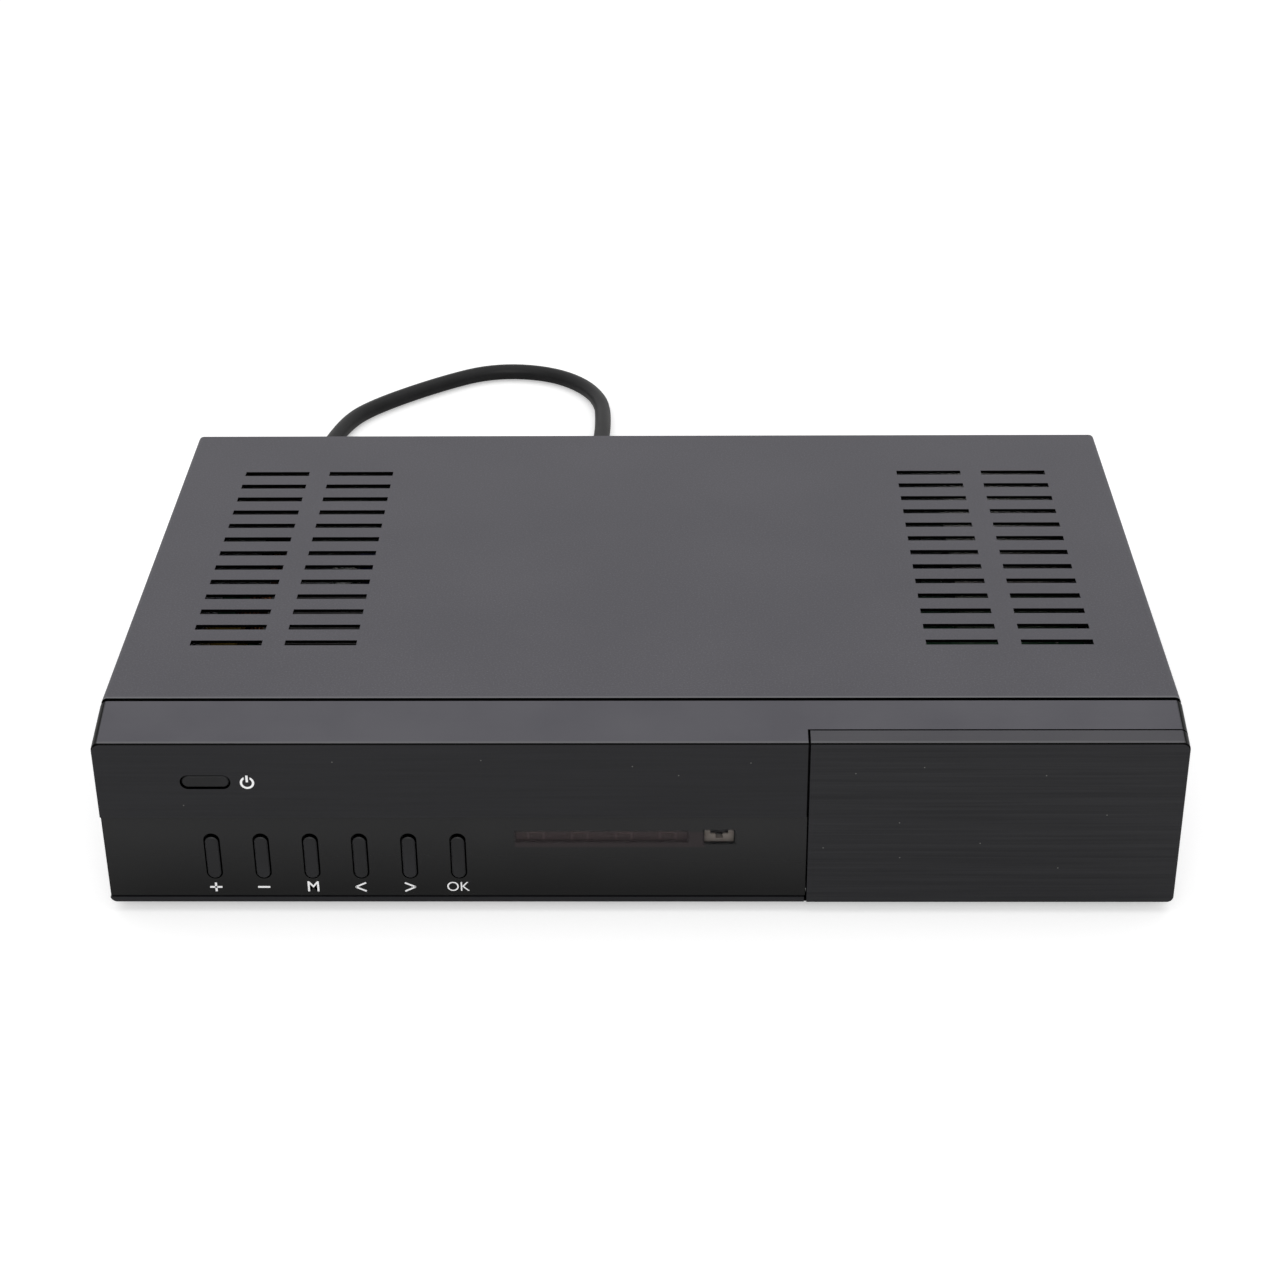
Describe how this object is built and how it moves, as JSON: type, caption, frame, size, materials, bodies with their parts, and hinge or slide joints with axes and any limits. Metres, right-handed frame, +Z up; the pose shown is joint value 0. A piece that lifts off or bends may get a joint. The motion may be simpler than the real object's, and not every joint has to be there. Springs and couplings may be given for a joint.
{
  "type": "digital tv receiver",
  "caption": "Low set-top television receiver with a vented steel cover, a dark display front, push keys, a drop-down flap and a mains lead.",
  "frame": {"origin": "on the table under the middle of the box and its rear sockets, without the mains lead", "axes": "+X to the right seen from the front, +Y to the rear, +Z up"},
  "size_m": [0.261, 0.3246, 0.0527],
  "materials": {
    "cover_paint": "fine satin dark grey paint",
    "zinc_steel": "plain zinc-coated sheet",
    "panel_plastic": "dark satin moulding",
    "smoked_gloss": "smoked gloss strip",
    "flap_plastic": "fine horizontal hairlines",
    "key_plastic": "satin",
    "black_plastic": "moulded",
    "board_green": "solder mask",
    "display_face": "dark red resin",
    "sensor_resin": "dark resin",
    "tin_plate": "tin plate",
    "nickel": "nickel plate",
    "contact_brass": "plated",
    "aluminium": "extruded",
    "capacitor_sleeve": "printed sleeve left plain",
    "ferrite": "sintered",
    "winding_tape": "yellow film",
    "winding_copper": "enamelled wire",
    "fuse_glass": "clear",
    "ribbon_grey": "flat cable",
    "core_brown": "insulated cores",
    "foot_rubber": "moulded rubber",
    "screw_steel": "zinc plated",
    "cord_black": "black flexible sheath",
    "tie_plastic": "pale moulded tie"
  },
  "bodies": {
    "case": {"chassis_tray": "zinc_steel", "top_cover": "cover_paint", "front_panel": "panel_plastic", "smoked_strip": "smoked_gloss", "tact_switches": "black_plastic", "front_board": "board_green", "led_display": "display_face", "sensor_shield": "tin_plate", "infrared_sensor": "sensor_resin", "ribbon_cable": "ribbon_grey", "main_board": "board_green", "power_board": "board_green", "board_standoffs": "screw_steel", "decoder_chip": "black_plastic", "heatsink": "aluminium", "memory_chips": "black_plastic", "crystals": "tin_plate", "board_capacitors": "capacitor_sleeve", "tuner_can": "tin_plate", "aerial_in": "nickel", "aerial_out": "nickel", "socket_contacts": "contact_brass", "av_jack_block": "black_plastic", "digital_jack_block": "black_plastic", "jack_shells": "nickel", "hdmi_socket": "nickel", "usb_socket": "nickel", "transformer_core": "ferrite", "transformer_winding": "winding_tape", "line_choke": "winding_copper", "fuse": "fuse_glass", "fuse_clips": "tin_plate", "power_capacitors": "capacitor_sleeve", "filter_capacitor": "winding_tape", "transistor_heatsink": "aluminium", "power_transistor": "black_plastic", "power_harness": "ribbon_grey", "inner_lead": "core_brown", "feet": "foot_rubber", "cover_screws": "screw_steel", "small_screws": "screw_steel", "strain_relief": "cord_black", "mains_cord": "cord_black", "cord_coil": "cord_black", "cord_tie": "tie_plastic", "mains_plug": "cord_black", "plug_sleeves": "black_plastic", "plug_pins": "nickel"},
    "flap": {"flap": "flap_plastic", "flap_hinge_pins": "screw_steel"},
    "power_key": {"power_key": "key_plastic"},
    "plus_key": {"plus_key": "key_plastic"},
    "minus_key": {"minus_key": "key_plastic"},
    "menu_key": {"menu_key": "key_plastic"},
    "left_key": {"left_key": "key_plastic"},
    "right_key": {"right_key": "key_plastic"},
    "ok_key": {"ok_key": "key_plastic"}
  },
  "joints": [
    {"name": "flap_hinge", "type": "hinge", "parent": "case", "child": "flap", "pos_m": [0.085, -0.0831, 0.0054], "axis": [1, 0, 0], "range_deg": [0, 90]},
    {"name": "power_key_press", "type": "slide", "parent": "case", "child": "power_key", "axis": [0, 1, 0], "range_m": [0, 0.0005], "stiffness_N_per_m": 1000, "springref_m": -0.0005},
    {"name": "plus_key_press", "type": "slide", "parent": "case", "child": "plus_key", "axis": [0, 1, 0], "range_m": [0, 0.0005], "stiffness_N_per_m": 1000, "springref_m": -0.0005},
    {"name": "minus_key_press", "type": "slide", "parent": "case", "child": "minus_key", "axis": [0, 1, 0], "range_m": [0, 0.0005], "stiffness_N_per_m": 1000, "springref_m": -0.0005},
    {"name": "menu_key_press", "type": "slide", "parent": "case", "child": "menu_key", "axis": [0, 1, 0], "range_m": [0, 0.0005], "stiffness_N_per_m": 1000, "springref_m": -0.0005},
    {"name": "left_key_press", "type": "slide", "parent": "case", "child": "left_key", "axis": [0, 1, 0], "range_m": [0, 0.0005], "stiffness_N_per_m": 1000, "springref_m": -0.0005},
    {"name": "right_key_press", "type": "slide", "parent": "case", "child": "right_key", "axis": [0, 1, 0], "range_m": [0, 0.0005], "stiffness_N_per_m": 1000, "springref_m": -0.0005},
    {"name": "ok_key_press", "type": "slide", "parent": "case", "child": "ok_key", "axis": [0, 1, 0], "range_m": [0, 0.0005], "stiffness_N_per_m": 1000, "springref_m": -0.0005}
  ]
}
